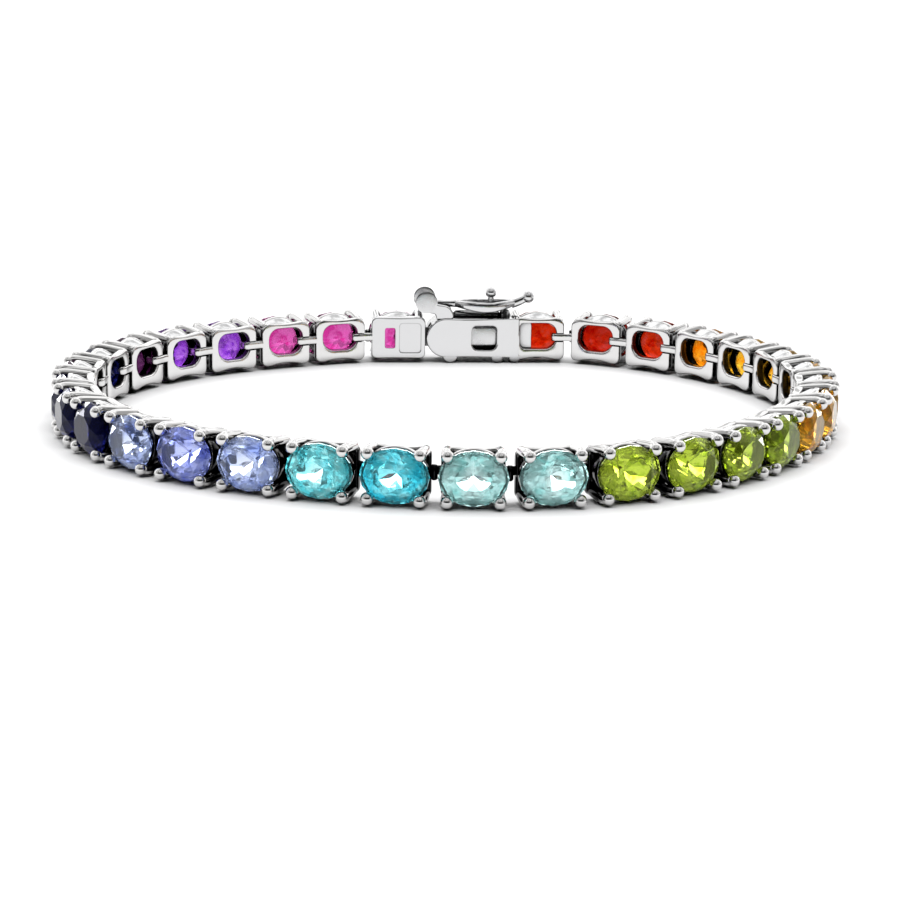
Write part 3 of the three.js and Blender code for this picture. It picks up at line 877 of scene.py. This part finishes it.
def mapped(nodes, links, source, low, high, to_low, to_high):
    span = nodes.new("ShaderNodeMapRange")
    span.inputs["From Min"].default_value = low
    span.inputs["From Max"].default_value = high
    span.inputs["To Min"].default_value = to_low
    span.inputs["To Max"].default_value = to_high
    links.new(source, span.inputs["Value"])
    return span.outputs["Result"]


def mixed(nodes, links, share, first, second):
    """A colour between two, by a share."""
    mix = nodes.new("ShaderNodeMix")
    mix.data_type = "RGBA"
    mix.inputs["A"].default_value = (*first, 1.0)
    mix.inputs["B"].default_value = (*second, 1.0)
    links.new(share, mix.inputs["Factor"])
    return mix.outputs["Result"]


def axis_value(nodes, links, coordinates, axis):
    """One axis of a piece's own place or normal."""
    place = nodes.new("ShaderNodeTexCoord")
    split = nodes.new("ShaderNodeSeparateXYZ")
    links.new(place.outputs[coordinates], split.inputs["Vector"])
    return split.outputs[axis]


def joined(nodes, links, operation, first, second):
    step = nodes.new("ShaderNodeMath")
    step.operation = operation
    links.new(first, step.inputs[0])
    links.new(second, step.inputs[1])
    return step.outputs["Value"]


def open_sides(nodes, links):
    """1 on a setting but 0 on its sides that face the next setting, where shade is painted."""
    across = nodes.new("ShaderNodeMath")
    across.operation = "ABSOLUTE"
    links.new(axis_value(nodes, links, "Normal", "X"), across.inputs[0])
    lower = mapped(nodes, links, axis_value(nodes, links, "Object", "Z"), 0.1 * MM, 0.5 * MM, 0.35, 0.0)
    faced = joined(nodes, links, "ADD", across.outputs["Value"], lower)
    turned = mapped(nodes, links, faced, 0.72, 0.95, 1.0, 0.0)
    near = mapped(nodes, links, axis_value(nodes, links, "Object", "Y"), 0.08 * MM, 0.2 * MM, 1.0, 0.0)
    return joined(nodes, links, "MAXIMUM", turned, near)


def beyond_gap(nodes, links):
    """0 on what borders the gap to the next setting, below the upper edges, where shade is painted, and 1
    elsewhere.
    """
    along = nodes.new("ShaderNodeMath")
    along.operation = "ABSOLUTE"
    links.new(axis_value(nodes, links, "Object", "X"), along.inputs[0])
    level = axis_value(nodes, links, "Object", "Y")
    height = axis_value(nodes, links, "Object", "Z")
    total = mapped(nodes, links, along.outputs["Value"], 1.8 * MM, 2.05 * MM, 1.0, 0.0)
    for source in (mapped(nodes, links, level, 0.2 * MM, 0.4 * MM, 1.0, 0.0),
                   mapped(nodes, links, level, 1.9 * MM, 2.15 * MM, 0.0, 1.0),
                   mapped(nodes, links, height, 1.1 * MM, 1.4 * MM, 0.0, 1.0)):
        total = joined(nodes, links, "MAXIMUM", total, source)
    return total


def prong_tips(nodes, links):
    """0 in the depth of a setting and 1 at its prong tips, which are spared the painted shade."""
    return mapped(nodes, links, axis_value(nodes, links, "Object", "Y"), 2.2 * MM, 2.6 * MM, 0.0, 1.0)


def upper_edges(nodes, links):
    """1 on the upper edges of a setting, which the painted shade spares, and 0 below them."""
    return mapped(nodes, links, axis_value(nodes, links, "Object", "Z"), 1.45 * MM, 1.62 * MM, 0.0, 0.8)


def silver_material(name, colour, low, high, reach=1.5, place="open"):
    """Polished silver with painted shade: black painted into its recesses and the gaps between links by an
    occlusion mask, with fine marks and a slightly uneven gloss.
    """
    material = bpy.data.materials.new(name)
    nodes, links, principled = shader(material)
    principled.inputs["Metallic"].default_value = 1.0
    # Painted shade: an occlusion mask paints the silver black in recesses and between parts
    recess = nodes.new("ShaderNodeAmbientOcclusion")
    recess.samples = 8
    recess.inputs["Distance"].default_value = reach * MM
    unshaded_share = mapped(nodes, links, recess.outputs["AO"], 0.38, 0.72, 0.0, 1.0)
    # Painted shade on the sides of a setting and on what borders the gap to the next one
    if place == "setting":
        unshaded_share = joined(nodes, links, "MINIMUM", unshaded_share, open_sides(nodes, links))
    if place in ("setting", "gallery"):
        unshaded_share = joined(nodes, links, "MINIMUM", unshaded_share, beyond_gap(nodes, links))
    # Painted light: the prong tips and upper edges of a setting are spared the painted shade
    if place == "setting":
        unshaded_share = joined(nodes, links, "MAXIMUM", unshaded_share, prong_tips(nodes, links))
        unshaded_share = joined(nodes, links, "MAXIMUM", unshaded_share, upper_edges(nodes, links))
    # Painted shade on the faces of a tab that do not face outwards
    if place == "tab":
        inner = mapped(nodes, links, axis_value(nodes, links, "Normal", "Y"), 0.0, 0.4, 1.0, 0.0)
        unshaded_share = joined(nodes, links, "MINIMUM", unshaded_share, inner)
    # The near-black colour is the painted shade
    links.new(mixed(nodes, links, unshaded_share, (0.012, 0.012, 0.013), colour), principled.inputs["Base Color"])
    cloud = noise(nodes, links, 900, 3, 1)
    links.new(mapped(nodes, links, cloud.outputs["Fac"], 0.3, 0.7, low, high), principled.inputs["Roughness"])
    marks = noise(nodes, links, 7000, 4, 2)
    bump = nodes.new("ShaderNodeBump")
    bump.inputs["Strength"].default_value = 0.1
    bump.inputs["Distance"].default_value = 0.01 * MM
    links.new(marks.outputs["Fac"], bump.inputs["Height"])
    links.new(bump.outputs["Normal"], principled.inputs["Normal"])
    return material


def heart_share(nodes, links):
    """0 on the stone's middle line and 1 towards its girdle."""
    place = nodes.new("ShaderNodeTexCoord")
    flat = nodes.new("ShaderNodeVectorMath")
    flat.operation = "MULTIPLY"
    flat.inputs[1].default_value = (1.0, 0.0, 1.0)
    links.new(place.outputs["Object"], flat.inputs[0])
    reach = nodes.new("ShaderNodeVectorMath")
    reach.operation = "LENGTH"
    links.new(flat.outputs["Vector"], reach.inputs[0])
    return mapped(nodes, links, reach.outputs["Value"], 0.5 * MM, 1.3 * MM, 0.0, 1.0)


def gem_material(name, colour, seed):
    """A transparent stone with cloudy inclusions and a slightly uneven surface."""
    material = bpy.data.materials.new(name)
    nodes, links, principled = shader(material)
    principled.inputs["Transmission Weight"].default_value = 0.9
    principled.inputs["Roughness"].default_value = 0.02
    principled.inputs["IOR"].default_value = 1.5 if name == "gem_midnight" else 1.68
    principled.inputs["Specular IOR Level"].default_value = 0.12
    principled.inputs["Specular Tint"].default_value = (*(c ** 0.5 for c in colour), 1.0)
    cloud = noise(nodes, links, 1100, 6, seed)
    ramp = nodes.new("ShaderNodeValToRGB")
    deep = tuple(c ** 2.0 for c in colour)
    milk = 0.30 if name in PALE_HEARTED else 0.06
    pale = tuple(min(1.0, c * 0.85 + milk * max(colour)) for c in colour)
    ramp.color_ramp.elements[0].position = 0.34
    ramp.color_ramp.elements[0].color = (*deep, 1.0)
    ramp.color_ramp.elements[1].position = 0.66
    ramp.color_ramp.elements[1].color = (*pale, 1.0)
    middle = ramp.color_ramp.elements.new(0.48)
    middle.color = (*colour, 1.0)
    links.new(cloud.outputs["Fac"], ramp.inputs["Fac"])
    if name in PALE_HEARTED:
        heart = mixed(nodes, links, heart_share(nodes, links), tuple(c ** 0.4 for c in colour), colour)
        links.new(ramp.outputs["Color"], heart.node.inputs["B"])
        links.new(heart, principled.inputs["Base Color"])
    else:
        links.new(ramp.outputs["Color"], principled.inputs["Base Color"])
    veil = noise(nodes, links, 2200, 3, seed + 20)
    bump = nodes.new("ShaderNodeBump")
    bump.inputs["Strength"].default_value = 0.10
    bump.inputs["Distance"].default_value = 0.03 * MM
    links.new(veil.outputs["Fac"], bump.inputs["Height"])
    links.new(bump.outputs["Normal"], principled.inputs["Normal"])
    return material


SILVER = silver_material("polished_silver", (0.62, 0.62, 0.624), 0.05, 0.11)
SETTING_SILVER = silver_material("setting_silver", (0.66, 0.655, 0.65), 0.05, 0.11, 1.5, "setting")
TAB_SILVER = silver_material("tab_silver", (0.66, 0.655, 0.65), 0.08, 0.16, 0.5, "tab")
GALLERY_SILVER = silver_material("gallery_silver", (0.62, 0.62, 0.624), 0.08, 0.16, 0.4, "gallery")
SATIN = silver_material("satin_silver", (0.62, 0.62, 0.624), 0.2, 0.32, 0.6)
# Painted shade: a near-black silver for the window linings
SHADED = silver_material("shaded_silver", (0.05, 0.048, 0.045), 0.3, 0.45)
GEMS = {name: gem_material(name, colour, 3 + i) for i, (name, colour) in enumerate(GEM_COLOURS.items())}


def dress(piece, material, body, slot, *nodes):
    """Gives a piece its material and body, and the nodes that it stands for. The slot is not used."""
    piece.data.materials.clear()
    piece.data.materials.append(material)
    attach(piece, body)
    if nodes:
        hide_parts(*nodes)


def add_settings():
    shared = setting_mesh(WINDOW_CORNERS)
    beside = setting_mesh(CLASP_WINDOW_CORNERS)
    for mesh in (shared, beside):
        mesh.materials.append(SETTING_SILVER)
    for node, _ in STONES:
        if node == "clasp_tongue":
            continue
        mesh = beside if node == "clasp_box" else shared
        piece = made_object(f"setting_{node}", mesh, FRAMES[node], smooth=40)
        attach(piece, "bracelet")
        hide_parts(node)
    # Window linings of near-black silver: painted shade inside each window
    for node, _ in STONES:
        if node == "clasp_tongue":
            continue
        corners = CLASP_WINDOW_CORNERS if node == "clasp_box" else WINDOW_CORNERS
        piece = made_object(f"lining_{node}", lining_mesh(corners), FRAMES[node], smooth=40)
        dress(piece, SHADED, "bracelet", "silver", node)
    gallery = gallery_mesh()
    for node, _ in STONES:
        piece = made_object(f"gallery_{node}", gallery.copy(), FRAMES[node], smooth=40)
        dress(piece, GALLERY_SILVER, "bracelet", "silver", node)


FRONT_STONES = [f"link_{number:02d}" for number in range(8, 25)]


def add_stones(light):
    """The stones. Those of the front row have a light of their own from behind."""
    lit = bpy.data.collections.new("front_stones")
    bpy.context.scene.collection.children.link(lit)
    light.light_linking.receiver_collection = lit
    cut = stone_mesh()
    for node, colour in STONES:
        piece = made_object(f"stone_{node}", cut.copy(), FRAMES[node])
        if node in FRONT_STONES:
            lit.objects.link(piece)
        dress(piece, GEMS[colour], "bracelet", colour, node)


def add_tabs():
    """A hinge tab on each link and on the tongue's end, bent to the link before."""
    order = [node for node, _ in STONES]
    for before, node in zip(order, order[1:]):
        turn = heading(FRAMES[before]) - heading(FRAMES[node])
        turn = (turn + math.pi) % (2 * math.pi) - math.pi
        piece = made_object(f"hinge_tab_{node}", tab_mesh("hinge_tab", turn), FRAMES[node], smooth=50)
        dress(piece, TAB_SILVER, "bracelet", "silver", node)


def heading(matrix):
    """The turn of a frame about the upright axis."""
    return math.atan2(matrix[1][0], matrix[0][0])


def add_clasp():
    """The box, its stops, the tongue's plate and leaf, and the safety catch."""
    clasp = FRAMES["clasp_box"] @ Matrix.Translation(Vector((-BOX_END_CENTRE, 0, 0)) * MM)
    end = FRAMES["clasp_tongue"]
    parts = (("clasp_shell", box_mesh(), clasp, "clasp_box"),
             ("clasp_feet", feet_mesh(), clasp, "clasp_box"),
             ("clasp_sill", sill_mesh(), clasp, "clasp_box"),
             ("catch_bracket", bracket_mesh(), clasp, "clasp_box"),
             ("catch_pin", pin_mesh(), clasp, "clasp_box"),
             ("catch_stops", stops_mesh(), clasp, "clasp_box"),
             ("spring_leaf", tongue_mesh(), clasp, "clasp_tongue"),
             ("end_plate", end_plate_mesh(), end, "clasp_tongue"),
             ("end_prongs", crown_mesh(), end, "clasp_tongue"))
    for name, mesh, matrix, node in parts:
        piece = made_object(name, mesh, matrix, smooth=40)
        dress(piece, SATIN if name in ("spring_leaf", "catch_pin") else SILVER, "bracelet", "silver", node)
    catch = made_object("safety_loop", catch_mesh(), clasp, smooth=50)
    dress(catch, SILVER, "safety_catch", "silver", "safety_catch")


# The camera's place in millimetres, its turns in radians, and its focal length in pixels of the picture
CAMERA_PLACE = Vector((-13.280, -234.608, 49.240)) * MM
CAMERA_DOWN = 0.21495
CAMERA_TURN = -0.05753
CAMERA_ROLL = -0.01605
FOCAL_PIXELS = 3040.3
PICTURE_PIXELS = 900


def add_camera():
    """The camera, looking down on the near side of the loop."""
    data = bpy.data.cameras.new("camera")
    camera = bpy.data.objects.new("camera", data)
    bpy.context.scene.collection.objects.link(camera)
    ahead = Vector((-math.sin(CAMERA_TURN) * math.cos(CAMERA_DOWN),
                    math.cos(CAMERA_TURN) * math.cos(CAMERA_DOWN),
                    -math.sin(CAMERA_DOWN)))
    right = Vector((math.cos(CAMERA_TURN), math.sin(CAMERA_TURN), 0.0))
    up = right.cross(ahead)
    level = Matrix((right, up, -ahead)).transposed()
    rolled = level @ Matrix.Rotation(-CAMERA_ROLL, 3, "Z")
    camera.matrix_world = Matrix.Translation(CAMERA_PLACE) @ rolled.to_4x4()
    data.sensor_width = 36.0
    data.lens = data.sensor_width * FOCAL_PIXELS / PICTURE_PIXELS
    data.clip_start = 0.01
    data.clip_end = 10.0
    bpy.context.scene.camera = camera


def add_floor():
    """A plain pale floor, a hair under the lowest prongs and feet."""
    bpy.ops.mesh.primitive_plane_add(size=4.0, location=(0, 0, -0.00002))
    floor = bpy.context.object
    floor.name = "floor"
    material = bpy.data.materials.new("pale_floor")
    _, _, principled = shader(material)
    principled.inputs["Base Color"].default_value = (0.93, 0.93, 0.935, 1.0)
    principled.inputs["Roughness"].default_value = 0.6
    principled.inputs["Specular IOR Level"].default_value = 0.2
    floor.data.materials.append(material)


def add_light(name, place, target, width, height, power):
    """A soft light in metres and watts, turned to a target."""
    data = bpy.data.lights.new(name, "AREA")
    data.shape = "RECTANGLE"
    data.size = width
    data.size_y = height
    data.energy = power
    light = bpy.data.objects.new(name, data)
    bpy.context.scene.collection.objects.link(light)
    light.location = place
    light.rotation_mode = "QUATERNION"
    light.rotation_quaternion = (Vector(target) - Vector(place)).to_track_quat("-Z", "Y")
    return light


def add_world():
    """A white room, dim on the camera's side, which gives the metal its dark lines."""
    world = bpy.data.worlds.new("studio")
    bpy.context.scene.world = world
    world.use_nodes = True
    nodes, links = world.node_tree.nodes, world.node_tree.links
    place = nodes.new("ShaderNodeTexCoord")
    split = nodes.new("ShaderNodeSeparateXYZ")
    links.new(place.outputs["Generated"], split.inputs["Vector"])
    sideways = nodes.new("ShaderNodeMath")
    sideways.operation = "ABSOLUTE"
    links.new(split.outputs["X"], sideways.inputs[0])
    panels = noise(nodes, links, 4.0, 1, 7, "Generated").outputs["Fac"]
    above = mapped(nodes, links, split.outputs["Z"], 0.45, 0.7, 0.05, 1.0)
    total = joined(nodes, links, "MULTIPLY", above, mapped(nodes, links, panels, 0.45, 0.58, 0.24, 1.0))
    behind = mapped(nodes, links, split.outputs["Y"], -0.1, 0.3, 0.0, 1.25)
    behind = joined(nodes, links, "MULTIPLY", behind, mapped(nodes, links, panels, 0.38, 0.5, 0.45, 1.0))
    beside = mapped(nodes, links, sideways.outputs["Value"], 0.6, 0.85, 0.0, 0.5)
    for source in (behind, beside):
        total = joined(nodes, links, "MAXIMUM", total, source)
    ray = nodes.new("ShaderNodeLightPath")
    least = mapped(nodes, links, ray.outputs["Is Transmission Ray"], 0.0, 1.0, 0.0, 0.46)
    links.new(joined(nodes, links, "MAXIMUM", total, least), nodes["Background"].inputs["Color"])
    nodes["Background"].inputs["Strength"].default_value = 1.3
    world.cycles_visibility.diffuse = False


def set_render():
    """Plain colours, and enough bounces for light to cross the stones."""
    scene = bpy.context.scene
    scene.view_settings.view_transform = "Standard"
    scene.view_settings.look = "None"
    scene.cycles.max_bounces = 16
    scene.cycles.transmission_bounces = 14
    scene.cycles.glossy_bounces = 8
    scene.cycles.caustics_reflective = False
    scene.cycles.caustics_refractive = False
    scene.cycles.use_denoising = True


add_camera()
add_floor()
add_world()
top = add_light("top", (0.0, 0.2, 1.2), (0, 0.2, 0), 2.6, 2.6, 50.0)
top.visible_glossy = False
backlight = add_light("back", (0.0, 0.7, 0.17), (0, 0, 0.01), 1.9, 0.35, 18.0)
backlight.visible_diffuse = False
set_render()
add_settings()
add_stones(backlight)
add_tabs()
add_clasp()
